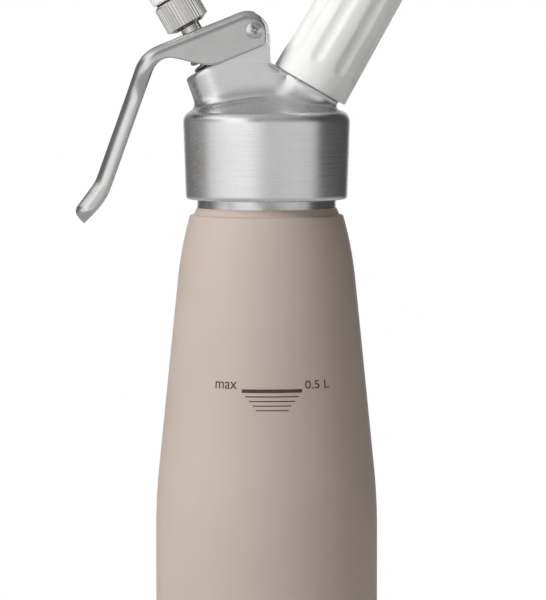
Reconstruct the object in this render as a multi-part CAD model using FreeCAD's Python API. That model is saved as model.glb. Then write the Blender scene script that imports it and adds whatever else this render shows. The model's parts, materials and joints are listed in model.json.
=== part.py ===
import FreeCAD, Part
import math
import os

from FreeCAD import Placement, Rotation, Vector

# Whipped cream dispenser, millimetres. The bottle stands on Z = 0 with its axis on Z. The valve
# leans to -X and the gas charger to +X. Both lean away from one point on the bottle's axis.

# ---------------------------------------------------------------- bottle
bottle_radius = 40.0
bottle_wall = 1.2
foot_inner_radius = 26.0        # the ring that the bottle stands on
foot_width = 7.0
base_corner_radius = 6.5
base_dome_rise = 6.0
body_top = 68.0                 # the straight body ends and the taper begins
taper_angle = 5.77
taper_blend_radius = 219.0
shoulder_top = 181.2
shoulder_height = 23.2          # above the end of the straight taper
taper_top = shoulder_top - shoulder_height
shoulder_blend_radius = 135.0
band_radius = 26.2              # lacquered band between the shoulder and the bare neck
band_step = 0.4
band_height = 2.8
neck_radius = 25.0
neck_wall = 2.0
neck_height = 26.8              # above the shoulder
neck_top = shoulder_top + neck_height

# ---------------------------------------------------------------- head
thread_clearance = 0.35
skirt_overlap = 21.0            # over the neck
skirt_bottom = neck_top - skirt_overlap
skirt_bottom_radius = 29.05
skirt_height = 32.1
skirt_top = skirt_bottom + skirt_height
skirt_top_radius = 30.2
skirt_shoulder_radius = 3.9
skirt_edge_chamfer = 0.5
dome_start_radius = 26.2
dome_step = 0.2                 # below the skirt's sharp corner
dome_start = skirt_top - dome_step
dome_slope = 0.32
gasket_thickness = 3.0
roof_underside = neck_top + gasket_thickness
gasket_inner_radius = 20.8
crossing_drop = 6.8             # below the neck's top
axes_crossing = neck_top - crossing_drop    # height at which the valve and charger lines meet
valve_tilt = 30.0
charger_tilt = 30.0

# ---------------------------------------------------------------- valve, along its own line
tower_radius = 10.6
web_half_width = tower_radius   # flush with the tower's sides
tower_top = 39.8
tower_foot = roof_underside + 1.0   # height of the tower's foot, level under its tilted top
tower_foot_offset = 11.9        # from the bottle's axis
web_flank_angle = 43.0          # from the tower's top face to the ear
web_corner_radius = 1.5
valley_rise = 0.6
casting_edge_radius = 0.7
casting_root_radius = 1.0
valve_boss_radius = 8.5
valve_boss_top = 16.0
seat_height = 10.5              # face that the poppet closes against
chamber_radius = 4.7
poppet_pocket_clearance = 0.6
guide_bottom = 22.0
guide_radius = 6.2
spring_pocket_depth = 2.0
spring_pocket_clearance = 0.5
stem_radius = 3.7
stem_tail_radius = 3.1
stem_bore_radius = 2.0
stem_tail_top = 21.0
stem_shoulder_height = 0.6
stem_top = 66.0
port_radius = 1.2
port_height = 13.6
running_fit = 0.05
o_ring_height = 27.0
o_ring_section = 0.95
poppet_radius = 5.7
poppet_gasket_thickness = 1.8
poppet_plug_thickness = 2.4
plug_stud_length = 2.0
plug_recess = 0.2
plug_chamfer = 0.7
plug_stud_chamfer = 0.5
collar_radius = 7.8
collar_thickness = 2.0
collar_bottom = 47.6
collar_pilot_depth = 1.2
collar_pilot_clearance = 0.3
collar_edge_radius = 0.4
clip_radius = 5.0
clip_thickness = 0.8
clip_groove_depth = 0.6
clip_mouth_share = 0.8           # of the groove's diameter
spring_wire = 1.6
spring_mean_radius = 5.8
spring_coils = 2.75

# ---------------------------------------------------------------- adapter and nozzle
adapter_bottom = 55.35
adapter_radius = 8.15
adapter_face_radius = 5.5
adapter_height = 11.3
adapter_chamfer = 1.3
adapter_top_chamfer = 0.9
adapter_stud_radius = 5.2
adapter_stud_length = 9.5
adapter_stud_chamfer = 0.6
adapter_bore_radius = 2.4
knurl_count = 46
knurl_depth = 0.32              # of a 90 degree groove
seal_thickness = 0.7
seal_recess = 1.2
nozzle_radius = 7.9
nozzle_length = 44.0
nozzle_collar_height = 12.0
nozzle_wall = 1.5
nozzle_tip_radius = 4.4
nozzle_tip_teeth = 8
nozzle_tooth_height = 9.0
nozzle_tooth_tip = 0.7
nozzle_edge_radius = 1.6
nozzle_thread_clearance = 0.35
nozzle_thread_runout = 1.0

# ---------------------------------------------------------------- lever, in line with its top face
pivot_offset = 19.55            # from the valve line, towards the charger
pivot_height = 42.4
lever_slope = 22.0
lever_top_height = 7.95         # top face above the pivot
lever_web = 2.1
lever_edge_radius = 3.5
cheek_drop = 6.35               # cheek's lower edge below the pivot
cheek_thickness = 2.3
cheek_clearance = 0.3
cheek_end_reach = 5.15
cheek_end_radius = 7.6
cheek_corner_radius = 3.0
belly_reach = 19.2
belly_radius = 14.0
arch_rise = 1.35                # arch's corner above the point square to the knee
arch_radius = 7.3
knee_reach = 40.65
knee_radius = 14.0
handle_drop_angle = 48.3
handle_thickness = 5.9
handle_half_width = 9.0
handle_taper_start = 1.0
handle_taper_length = 17.0
handle_length = 49.4            # from the knee's corner to the tip's bend
handle_inner_length = 55.0      # on the side towards the bottle
handle_inner_bend_radius = 23.0
tip_bend_angle = 16.8
tip_bend_radius = 10.0
tip_length = 13.1
tip_corner_radius = 3.1
tip_plan_radius = 6.5
tip_end_angle = 74.0            # end face to the tip's outer side
tip_end_length = 5.9
tip_low_radius = 0.6
channel_end_radius = 2.0
slot_clearance = 0.5
slot_travel = 2.2
rib_radius = 1.5
rib_gap = 0.3
ear_radius = 5.0
ear_side_lean = 10.0
ear_side_reach = 5.6            # web's right side, from the pivot
pivot_barrel_radius = 2.5
pivot_head_radius = 3.0
pivot_head_height = 1.2
pivot_head_gap = 0.1
pivot_screw_radius = 1.5
pivot_screw_length = 12.0
pivot_screw_tip_gap = 2.0
pivot_dome_rise = 0.72

# ---------------------------------------------------------------- gas inlet, along its own line
inlet_face = 30.7
inlet_root = 14.0
inlet_boss_radius = 13.2
inlet_boss_shift = 1.1          # boss centre lies off the charger line, towards the lever
thread_boss_radius = 10.2
thread_boss_length = 12.0
charger_mouth = 33.5
charger_lip_radius = 0.8
charger_neck_radius = 4.4
charger_neck_length = 7.5
charger_neck_blend = 1.5
charger_radius = 9.0
charger_shoulder_length = 8.0
charger_shoulder_radius = 6.0
charger_length = 65.5
charger_wall = 1.6
charger_cap = 1.0
charger_end_radius = 6.0
charger_pierced_radius = 1.1
flare_lead = 1.5
piercing_body_radius = 4.7
piercing_body_bottom = 15.0
piercing_body_gap = 0.5
gas_way_radius = 1.3
needle_radius = 0.8
needle_bottom = 24.0
needle_reach = 3.2
needle_taper = 0.5
needle_point_length = 1.5
needle_tip_radius = 0.1
needle_bore_radius = 0.32
inlet_seal_thickness = 2.0
check_valve_radius = 2.8
check_valve_length = 4.1
check_valve_rim = 2.9
check_valve_skin = 1.4

# ---------------------------------------------------------------- charger holder
holder_gap = 0.3
holder_mouth_radius = 14.55
holder_draft = 1.2
holder_length = 76.0
holder_edge_radius = 0.6
holder_end_radius = 3.0
holder_bore_clearance = 0.4
holder_bore_end_radius = 5.0
insert_radius = 12.0
insert_length = 13.0
insert_recess = 1.2
flute_count = 9
flute_first_angle = 258.2       # round the holder from the side away from the bottle's axis
flute_width = 5.4
flute_depth = 0.9
flute_start = 8.0
flute_end_margin = 7.0

overrun = 1.0                   # cutting tools pass the face that they leave by this much
well_beyond = 100.0             # for cutting tools that must pass the whole lever
touch = 0.05                    # how near an edge lies to the surface that it belongs to

valve_line = Placement(Vector(0, 0, axes_crossing), Rotation(Vector(0, 1, 0), -valve_tilt))
charger_line = Placement(Vector(0, 0, axes_crossing), Rotation(Vector(0, 1, 0), charger_tilt))
pivot = valve_line.multVec(Vector(pivot_offset, 0, pivot_height))
lever_line = Placement(pivot, Rotation(Vector(0, 1, 0), -lever_slope))


# ---------------------------------------------------------------- drawing helpers
def heading(angle):
    """Unit vector in the XZ plane, degrees from +X towards +Z."""
    return Vector(math.cos(math.radians(angle)), 0, math.sin(math.radians(angle)))


def meet(start, start_heading, other, other_heading):
    """Point where two lines in the XZ plane cross."""
    across = start_heading.x * other_heading.z - start_heading.z * other_heading.x
    gap = other - start
    return start + start_heading * ((gap.x * other_heading.z - gap.z * other_heading.x) / across)


def rounded_face(corners):
    """Closed face in the XZ plane; each corner is (point, rounding radius)."""
    spans = []
    for place, (corner, radius) in enumerate(corners):
        before = (corners[place - 1][0] - corner).normalize()
        after = (corners[(place + 1) % len(corners)][0] - corner).normalize()
        if radius == 0:
            spans.append((corner, None, corner))
            continue
        half_angle = before.getAngle(after) / 2
        middle = (before + after).normalize()
        centre = corner + middle * (radius / math.sin(half_angle))
        reach = radius / math.tan(half_angle)
        spans.append((corner + before * reach, centre - middle * radius, corner + after * reach))
    edges = []
    for place, (arc_start, arc_middle, arc_end) in enumerate(spans):
        if arc_middle is not None:
            edges.append(Part.Arc(arc_start, arc_middle, arc_end).toShape())
        following = spans[(place + 1) % len(spans)][0]
        if (following - arc_end).Length > 1e-6:
            edges.append(Part.LineSegment(arc_end, following).toShape())
    return Part.Face(Part.Wire(edges))


def turned(corners):
    """Solid of revolution round Z; each corner is (radius, height) or (radius, height, rounding)."""
    points = [(Vector(c[0], 0, c[1]), c[2] if len(c) > 2 else 0) for c in corners]
    return rounded_face(points).revolve(Vector(), Vector(0, 0, 1), 360)


def tube(outer_radius, inner_radius, bottom, top):
    return turned([
        (inner_radius, bottom),
        (outer_radius, bottom),
        (outer_radius, top),
        (inner_radius, top),
    ])


def rod(radius, bottom, top):
    return Part.makeCylinder(radius, top - bottom, Vector(0, 0, bottom))


def cross_rod(radius, start, end):
    """Rod along Y through the local origin."""
    return Part.makeCylinder(radius, end - start, Vector(0, start, 0), Vector(0, 1, 0))


def plate(face, half_width):
    """A face in the XZ plane, thickened both ways along Y."""
    face.translate(Vector(0, -half_width, 0))
    return face.extrude(Vector(0, 2 * half_width, 0))


def placed(shape, placement):
    shape.Placement = placement.multiply(shape.Placement)
    return shape


def middle_of(edge):
    return edge.valueAt((edge.FirstParameter + edge.LastParameter) / 2)


def save(node, shape):
    shape = shape.removeSplitter()
    if not shape.isValid() or shape.Volume <= 0:
        raise ValueError(node + " is not a valid solid")
    shape.exportStep("parts/" + node + ".step")
    print("%-18s %d solid, %8.1f mm3" % (node, len(shape.Solids), shape.Volume))


# ---------------------------------------------------------------- bottle
def bottle_outline(inset):
    """Side of the bottle from its base corner to its shoulder's edge, moved inwards by the inset."""
    slope = math.radians(taper_angle)
    low_radius = taper_blend_radius - inset
    high_radius = shoulder_blend_radius - inset
    low_centre = Vector(bottle_radius - taper_blend_radius, 0, body_top)
    low_end = low_centre + heading(taper_angle) * low_radius
    axis_radius = low_end.x - (taper_top - low_end.z) * math.tan(slope)
    high_start = Vector(axis_radius, 0, taper_top)
    high_centre = high_start - heading(taper_angle) * high_radius
    high_angle = math.degrees(math.asin((shoulder_top - inset - high_centre.z) / high_radius))
    high_end = high_centre + heading(high_angle) * high_radius
    low_middle = low_centre + heading(taper_angle / 2) * low_radius
    high_middle = high_centre + heading((taper_angle + high_angle) / 2) * high_radius
    side_start = Vector(bottle_radius - inset, 0, base_corner_radius)
    side_end = Vector(bottle_radius - inset, 0, body_top)
    return [
        Part.LineSegment(side_start, side_end).toShape(),
        Part.Arc(side_end, low_middle, low_end).toShape(),
        Part.LineSegment(low_end, high_start).toShape(),
        Part.Arc(high_start, high_middle, high_end).toShape(),
    ]


def bottle_base(inset):
    """Bottom of the bottle from the axis to its side: raised dome, foot ring and rounded corner."""
    foot_inner = Vector(foot_inner_radius - inset, 0, inset)
    foot_outer = Vector(foot_inner_radius + foot_width, 0, inset)
    side_corner = Vector(bottle_radius - inset, 0, inset)
    side_start = Vector(bottle_radius - inset, 0, base_corner_radius)
    dome_radius = (foot_inner.x ** 2 + base_dome_rise ** 2) / (2 * base_dome_rise)
    dome_centre = Vector(0, 0, inset + base_dome_rise - dome_radius)
    half_angle = math.degrees(math.asin(foot_inner.x / dome_radius)) / 2
    dome_top = dome_centre + heading(90) * dome_radius
    dome_middle = dome_centre + heading(90 - half_angle) * dome_radius
    bend = Part.BezierCurve()
    bend.setPoles([foot_outer, side_corner, side_start])
    return [
        Part.Arc(dome_top, dome_middle, foot_inner).toShape(),
        Part.LineSegment(foot_inner, foot_outer).toShape(),
        bend.toShape(),
    ]


def filled(edges, neck_edges):
    """Revolve an outline that starts and ends on the axis."""
    outline = edges + neck_edges
    top = outline[-1].Vertexes[-1].Point
    outline.append(Part.LineSegment(top, outline[0].Vertexes[0].Point).toShape())
    return Part.Face(Part.Wire(outline)).revolve(Vector(), Vector(0, 0, 1), 360)


def neck_lines(points):
    return [Part.LineSegment(a, b).toShape() for a, b in zip(points, points[1:])]


def make_bottle():
    side = bottle_outline(0)
    ledge = side[-1].Vertexes[-1].Point
    outside = filled(bottle_base(0) + side, neck_lines([
        ledge,
        Vector(band_radius, 0, shoulder_top + band_step),
        Vector(neck_radius, 0, shoulder_top + band_height),
        Vector(neck_radius, 0, neck_top),
        Vector(0, 0, neck_top),
    ]))
    inner_side = bottle_outline(bottle_wall)
    inner_top = inner_side[-1].Vertexes[-1].Point
    mouth_radius = neck_radius - neck_wall
    inside = filled(bottle_base(bottle_wall) + inner_side, neck_lines([
        inner_top,
        Vector(mouth_radius, 0, inner_top.z),
        Vector(mouth_radius, 0, neck_top + overrun),
        Vector(0, 0, neck_top + overrun),
    ]))
    return outside.cut(inside)


# ---------------------------------------------------------------- head casting
def make_skirt():
    bore = neck_radius + thread_clearance
    return turned([
        (bore, skirt_bottom),
        (skirt_bottom_radius - skirt_edge_chamfer, skirt_bottom),
        (skirt_bottom_radius, skirt_bottom + skirt_edge_chamfer),
        (skirt_top_radius, skirt_top, skirt_shoulder_radius),
        (dome_start_radius, dome_start),
        (0, dome_start + dome_slope * dome_start_radius),
        (0, roof_underside),
        (bore, roof_underside),
    ])


def make_tower():
    """Tilted round top, drawn down to a level foot inside the dome."""
    top = placed(Part.Wire(Part.makeCircle(tower_radius, Vector(0, 0, tower_top))), valve_line)
    foot = Part.Wire(Part.makeCircle(tower_radius, Vector(-tower_foot_offset, 0, tower_foot)))
    return Part.makeLoft([foot, top], True, True)


def inlet_corner():
    """Edge of the inlet's face that is nearest to the lever's ear."""
    return charger_line.multVec(Vector(-inlet_boss_radius - inlet_boss_shift, 0, inlet_face))


def make_web():
    """Web that joins the valve tower, the lever's ear and the gas inlet."""
    tower_centre = valve_line.multVec(Vector(0, 0, tower_top))
    flank = heading(valve_tilt + web_flank_angle)
    ear_left = pivot + Vector(-flank.z, 0, flank.x) * ear_radius
    ear_right = pivot + heading(ear_side_lean) * ear_radius
    ear_right_up = heading(90 + ear_side_lean)
    flank_foot = meet(ear_left, flank, tower_centre, heading(valve_tilt))
    ear_top = meet(ear_left, flank, ear_right, ear_right_up)
    valley = Vector(pivot.x + ear_side_reach, 0, inlet_corner().z + valley_rise)
    ear_foot = meet(ear_right, ear_right_up, valley, heading(90))
    inlet_centre = charger_line.multVec(Vector(0, 0, inlet_face))
    outline = rounded_face([
        (tower_centre, 0), (flank_foot, web_corner_radius), (ear_top, ear_radius),
        (ear_foot, ear_radius), (valley, web_corner_radius), (inlet_corner(), 0), (inlet_centre, 0),
        (Vector(inlet_centre.x, 0, tower_foot), 0), (Vector(-tower_foot_offset, 0, tower_foot), 0),
    ])
    return plate(outline, web_half_width)


def on_upper_rim(edge):
    """True for the tower's open rim and for the web's edges above the inlet."""
    middle = middle_of(edge)
    from_tower = valve_line.inverse().multVec(middle)
    on_tower_rim = abs(from_tower.z - tower_top) < touch and from_tower.x < -touch
    on_web_side = abs(abs(middle.y) - web_half_width) < touch
    return (on_tower_rim and not on_web_side) or (on_web_side and middle.z > inlet_corner().z)


def on_dome(edge):
    """True for the edges where the upper part stands on the dome."""
    middle = middle_of(edge)
    reach = math.hypot(middle.x, middle.y)
    dome_height = dome_start + dome_slope * (dome_start_radius - reach)
    return abs(middle.z - dome_height) < touch and reach < dome_start_radius - touch


def make_head_casting():
    inlet = placed(rod(inlet_boss_radius, inlet_root, inlet_face), charger_line)
    inlet.translate(charger_line.Rotation.multVec(Vector(-inlet_boss_shift, 0, 0)))
    upper = make_tower().fuse([make_web(), inlet]).removeSplitter()
    upper = upper.makeFillet(casting_edge_radius, [edge for edge in upper.Edges if on_upper_rim(edge)])
    body = make_skirt().fuse(upper).removeSplitter()
    body = body.makeFillet(casting_root_radius, [edge for edge in body.Edges if on_dome(edge)])
    thread_boss = placed(rod(thread_boss_radius, inlet_root, inlet_face + thread_boss_length), charger_line)
    valve_boss = placed(rod(valve_boss_radius, seat_height, valve_boss_top), valve_line)
    below_roof = rod(neck_radius + thread_clearance, skirt_bottom, roof_underside)
    body = body.fuse(thread_boss).cut(below_roof).fuse(valve_boss)
    spring_pocket_radius = spring_mean_radius + spring_wire / 2 + spring_pocket_clearance
    cuts = [
        rod(poppet_radius + poppet_pocket_clearance, 0, seat_height),
        rod(chamber_radius, 0, guide_bottom + overrun),
        rod(guide_radius, guide_bottom, tower_top + overrun),
        rod(spring_pocket_radius, tower_top - spring_pocket_depth, tower_top + overrun),
    ]
    cuts = [placed(cut, valve_line) for cut in cuts]
    cuts += [placed(cut, charger_line) for cut in inlet_cuts()]
    pivot_bore = cross_rod(pivot_barrel_radius, -web_half_width - overrun, web_half_width + overrun)
    return body.cut(cuts + [placed(pivot_bore, Placement(pivot, Rotation()))])


def inlet_cuts():
    """Bores of the gas inlet: check valve, piercing body, charger neck and charger shoulder."""
    seal_bottom = charger_mouth - inlet_seal_thickness
    boss_top = inlet_face + thread_boss_length
    neck_bore = charger_neck_radius + thread_clearance
    neck_end = charger_mouth + charger_neck_length
    flare = (charger_radius - charger_neck_radius) / charger_shoulder_length
    flare_bottom = neck_end - flare_lead
    flare_top = boss_top + overrun
    return [
        rod(check_valve_radius, 0, piercing_body_bottom + overrun),
        rod(piercing_body_radius, piercing_body_bottom, seal_bottom),
        rod(neck_bore, seal_bottom, flare_top),
        turned([
            (0, flare_bottom), (neck_bore, flare_bottom),
            (neck_bore + flare * (flare_top - flare_bottom), flare_top), (0, flare_top),
        ]),
    ]


def make_head_gasket():
    return tube(neck_radius + thread_clearance - running_fit, gasket_inner_radius, neck_top, roof_underside)


# ---------------------------------------------------------------- valve
def make_guide_bush():
    top = tower_top - spring_pocket_depth
    bush = tube(guide_radius, stem_radius + running_fit, guide_bottom, top)
    groove_bottom = o_ring_height - o_ring_section - running_fit
    groove_top = o_ring_height + o_ring_section + running_fit
    groove_radius = stem_radius + 2 * o_ring_section + 3 * running_fit
    return bush.cut(rod(groove_radius, groove_bottom, groove_top))


def make_stem_o_ring():
    return Part.makeTorus(stem_radius + 2 * running_fit + o_ring_section, o_ring_section,
                          Vector(0, 0, o_ring_height))


def make_valve_stem():
    groove_bottom = collar_bottom + collar_thickness
    stem = turned([
        (stem_bore_radius, seat_height),
        (stem_tail_radius, seat_height),
        (stem_tail_radius, stem_tail_top - stem_shoulder_height),
        (stem_radius, stem_tail_top),
        (stem_radius, stem_top),
        (stem_bore_radius, stem_top),
    ])
    groove = tube(stem_radius + overrun, stem_radius - clip_groove_depth,
                  groove_bottom, groove_bottom + clip_thickness)
    ports = []
    for turn in (0, 90):
        port = cross_rod(port_radius, -stem_radius, stem_radius)
        port.rotate(Vector(), Vector(0, 0, 1), turn)
        port.translate(Vector(0, 0, port_height))
        ports.append(port)
    return stem.cut([groove] + ports)


def make_poppet_gasket():
    return tube(poppet_radius, stem_bore_radius, seat_height - poppet_gasket_thickness, seat_height)


def make_poppet_plug():
    top = seat_height - poppet_gasket_thickness
    bottom = top - poppet_plug_thickness
    side = poppet_radius - plug_recess
    stud_top = seat_height + plug_stud_length
    return turned([
        (0, bottom),
        (side - plug_chamfer, bottom),
        (side, bottom + plug_chamfer),
        (side, top),
        (stem_bore_radius, top),
        (stem_bore_radius, stud_top - plug_stud_chamfer),
        (stem_bore_radius - plug_stud_chamfer, stud_top),
        (0, stud_top),
    ])


def make_push_collar():
    """Collar that the lever presses; its pilot keeps the return spring centred."""
    pilot_radius = spring_mean_radius - spring_wire / 2 - collar_pilot_clearance
    top = collar_bottom + collar_thickness
    return turned([
        (stem_radius, collar_bottom - collar_pilot_depth),
        (pilot_radius, collar_bottom - collar_pilot_depth),
        (pilot_radius, collar_bottom),
        (collar_radius, collar_bottom),
        (collar_radius, top, collar_edge_radius),
        (stem_radius, top),
    ])


def make_retaining_clip():
    """Clip with one open side, pushed into the stem's groove."""
    bottom = collar_bottom + collar_thickness
    groove_radius = stem_radius - clip_groove_depth
    clip = tube(clip_radius, groove_radius, bottom, bottom + clip_thickness)
    mouth_width = 2 * groove_radius * clip_mouth_share
    mouth = Part.makeBox(2 * clip_radius, mouth_width, clip_thickness, Vector(0, -mouth_width / 2, bottom))
    return clip.cut(mouth)


def make_return_spring():
    bottom = tower_top - spring_pocket_depth + spring_wire / 2
    top = collar_bottom - spring_wire / 2
    pitch = (top - bottom) / spring_coils
    path = Part.makeHelix(pitch, top - bottom, spring_mean_radius)
    path.translate(Vector(0, 0, bottom))
    climb = Vector(0, 2 * math.pi * spring_mean_radius, pitch)
    section = Part.Wire(Part.makeCircle(spring_wire / 2, Vector(spring_mean_radius, 0, bottom), climb))
    return Part.Wire(path).makePipeShell([section], True, True)


# ---------------------------------------------------------------- adapter and nozzle
def make_nozzle_adapter():
    top = adapter_bottom + adapter_height
    stud_top = top + adapter_stud_length
    adapter = turned([
        (0, adapter_bottom),
        (adapter_face_radius, adapter_bottom),
        (adapter_radius, adapter_bottom + adapter_chamfer),
        (adapter_radius, top - adapter_top_chamfer),
        (adapter_radius - adapter_top_chamfer, top),
        (adapter_stud_radius, top),
        (adapter_stud_radius, stud_top - adapter_stud_chamfer),
        (adapter_stud_radius - adapter_stud_chamfer, stud_top),
        (0, stud_top),
    ])
    groove_root = Vector(adapter_radius - knurl_depth, 0, adapter_bottom)
    groove_side = Vector(1.5 * knurl_depth, 1.5 * knurl_depth, 0)
    groove = Part.Face(Part.makePolygon([
        groove_root,
        groove_root + groove_side,
        groove_root + Vector(groove_side.x, -groove_side.y, 0),
        groove_root,
    ])).extrude(Vector(0, 0, adapter_height))
    grooves = []
    for number in range(knurl_count):
        copy = groove.copy()
        copy.rotate(Vector(), Vector(0, 0, 1), number * 360 / knurl_count)
        grooves.append(copy)
    return adapter.cut(grooves + [
        rod(stem_radius, adapter_bottom - overrun, stem_top),
        rod(adapter_bore_radius, stem_top - overrun, stud_top + overrun),
    ])


def make_adapter_seal():
    bottom = adapter_bottom + adapter_height
    bore = adapter_stud_radius + running_fit
    return tube(nozzle_radius - seal_recess, bore, bottom, bottom + seal_thickness)


def make_nozzle():
    """Decorating tip: a threaded collar, a slim cone and a crown of pointed teeth at the mouth."""
    bottom = adapter_bottom + adapter_height + seal_thickness
    collar_top = bottom + nozzle_collar_height
    top = bottom + nozzle_length
    thread_bore = adapter_stud_radius + nozzle_thread_clearance
    thread_end = bottom + adapter_stud_length
    nozzle = turned([
        (thread_bore, bottom),
        (nozzle_radius, bottom, nozzle_edge_radius / 2),
        (nozzle_radius, collar_top, nozzle_edge_radius),
        (nozzle_radius - nozzle_edge_radius, collar_top),
        (nozzle_tip_radius, top),
        (nozzle_tip_radius - nozzle_wall, top),
        (thread_bore - nozzle_wall / 2, thread_end + nozzle_thread_runout),
        (thread_bore, thread_end),
    ])
    tooth_pitch = 2 * math.pi * nozzle_tip_radius / nozzle_tip_teeth
    notch_half = (tooth_pitch - nozzle_tooth_tip) / 2
    reach = Vector(0, 2 * nozzle_tip_radius, 0)
    notch = Part.Face(Part.makePolygon([
        Vector(0, 0, top - nozzle_tooth_height),
        Vector(notch_half, 0, top),
        Vector(-notch_half, 0, top),
        Vector(0, 0, top - nozzle_tooth_height),
    ])).extrude(reach)
    notches = []
    for number in range(nozzle_tip_teeth):
        copy = notch.copy()
        copy.rotate(Vector(), Vector(0, 0, 1), (number + 0.5) * 360 / nozzle_tip_teeth)
        notches.append(copy)
    return nozzle.cut(notches)


# ---------------------------------------------------------------- lever
# Its corners are in line with its top face and start from its pivot.
handle_down = heading(180 + handle_drop_angle)
tip_down = heading(180 + handle_drop_angle - tip_bend_angle)
tip_end_down = heading(180 + handle_drop_angle - tip_bend_angle + tip_end_angle)
knee = Vector(-knee_reach, 0, lever_top_height)
bend = knee + handle_down * handle_length
tip = bend + tip_down * tip_length
tip_low = tip + tip_end_down * tip_end_length
cheek_end = heading(-lever_slope) * cheek_end_reach
cheek_end_up = heading(90 - lever_slope)
cheek_end_top = meet(Vector(0, 0, lever_top_height), heading(0), cheek_end, cheek_end_up)
lever_half_width = web_half_width + cheek_clearance + cheek_thickness


def inward(direction):
    """Square to the handle, towards the bottle."""
    return Vector(-direction.z, 0, direction.x)


def lever_side():
    """Side outline of the lever: two cheeks, a bridge over the valve and the handle."""
    cheek_low = meet(Vector(0, 0, -cheek_drop), heading(0), cheek_end, cheek_end_up)
    belly = Vector(-belly_reach, 0, -cheek_drop)
    inner_side = knee + inward(handle_down) * handle_thickness
    return rounded_face([
        (cheek_end_top, cheek_end_radius), (cheek_low, cheek_corner_radius), (belly, belly_radius),
        (inner_side - handle_down * arch_rise, arch_radius),
        (inner_side + handle_down * handle_inner_length, handle_inner_bend_radius),
        (tip_low, tip_low_radius), (tip, tip_corner_radius), (bend, tip_bend_radius),
        (knee, knee_radius),
    ])


def lever_blank_side():
    """The lever's outer side only, carried on past its lower edges."""
    return rounded_face([
        (cheek_end_top, cheek_end_radius), (cheek_end_top - cheek_end_up * (knee_reach / 2), 0),
        (tip_low + tip_end_down * handle_thickness, 0), (tip, tip_corner_radius),
        (bend, tip_bend_radius), (knee, knee_radius),
    ])


def lever_channel_side():
    """Side outline of the channel under the lever, open towards the bottle and the ear."""
    roof = Vector(well_beyond, 0, lever_top_height - lever_web)
    channel_side = knee + inward(handle_down) * lever_web
    channel_knee = meet(channel_side, handle_down, roof, heading(0))
    tip_side = tip + inward(tip_down) * lever_web
    channel_bend = meet(channel_side, handle_down, tip_side, tip_down)
    channel_end = tip_side - tip_down * (tip_corner_radius + lever_web)
    mouth = channel_end + tip_end_down * well_beyond
    return rounded_face([
        (roof, 0), (Vector(well_beyond, 0, mouth.z), 0), (mouth, 0),
        (channel_end, channel_end_radius), (channel_bend, tip_bend_radius + lever_web),
        (channel_knee, knee_radius - lever_web),
    ])


def lever_plan(inset, end_inset):
    """View of the lever square to its handle: broad at the fork, slim at the grip."""
    broad = lever_half_width - inset
    slim = handle_half_width - inset
    corner = tip_plan_radius - inset
    start = -2 * knee_reach
    end = (tip_low - knee).dot(handle_down) - end_inset
    taper_end = handle_taper_start + handle_taper_length
    taper_middle = handle_taper_start + handle_taper_length / 2

    def half_outline(sign):
        def point(along, across):
            return Vector(along, sign * across, 0)

        taper = Part.BezierCurve()
        taper.setPoles([
            point(handle_taper_start, broad), point(taper_middle, broad),
            point(taper_middle, slim), point(taper_end, slim),
        ])
        corner_start = point(end - corner, slim)
        corner_end = point(end, slim - corner)
        corner_middle = point(end - corner, slim - corner) + Vector(1, sign, 0).normalize() * corner
        return [
            Part.LineSegment(point(start, 0), point(start, broad)).toShape(),
            Part.LineSegment(point(start, broad), point(handle_taper_start, broad)).toShape(),
            taper.toShape(),
            Part.LineSegment(point(taper_end, slim), corner_start).toShape(),
            Part.Arc(corner_start, corner_middle, corner_end).toShape(),
            Part.LineSegment(corner_end, point(end, 0)).toShape(),
        ]

    face = Part.Face(Part.Wire(Part.__sortEdges__(half_outline(1) + half_outline(-1))))
    face.translate(Vector(0, 0, -well_beyond))
    solid = face.extrude(Vector(0, 0, 2 * well_beyond))
    return placed(solid, Placement(knee, Rotation(Vector(0, 1, 0), 180 - handle_drop_angle)))


def on_outer_edge(edge):
    """True for both long edges of the lever's outer side, from the cheeks' ends to the tip."""
    middle = middle_of(edge)
    ridge = Part.makePolygon([cheek_end_top - cheek_end_up * cheek_drop, cheek_end_top, knee, bend, tip])
    beside = Part.Vertex(Vector(middle.x, 0, middle.z)).distToShape(ridge)[0]
    return beside < handle_thickness / 3 and abs(middle.y) > handle_half_width / 2


def make_rib(side):
    """Rounded rib from one cheek to the clip, which presses the collar beside the stem."""
    start = clip_radius + rib_gap
    end = lever_half_width - cheek_thickness / 2
    rib = cross_rod(rib_radius, min(side * start, side * end), max(side * start, side * end))
    rib.translate(Vector(0, 0, collar_bottom + collar_thickness + rib_gap + rib_radius))
    return placed(rib, valve_line)


def make_lever():
    blank = plate(lever_blank_side(), lever_half_width + overrun).common(lever_plan(0, 0))
    blank = blank.makeFillet(lever_edge_radius, [edge for edge in blank.Edges if on_outer_edge(edge)])
    outer = blank.common(plate(lever_side(), lever_half_width + overrun))
    channel = plate(lever_channel_side(), 2 * lever_half_width)
    channel = channel.common(lever_plan(cheek_thickness, tip_corner_radius + lever_web))
    pivot_bore = cross_rod(pivot_barrel_radius + running_fit, -well_beyond, well_beyond)
    lever = placed(outer.cut([channel, pivot_bore]), lever_line)
    slot_half = stem_radius + slot_clearance
    slot_bottom = collar_bottom - lever_web
    slot_height = adapter_bottom + lever_web - slot_bottom
    slot = Part.makeBox(2 * slot_half + slot_travel, 2 * slot_half, slot_height,
                        Vector(-slot_half, -slot_half, slot_bottom))
    return lever.cut(placed(slot, valve_line)).fuse([make_rib(-1), make_rib(1)])


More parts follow.
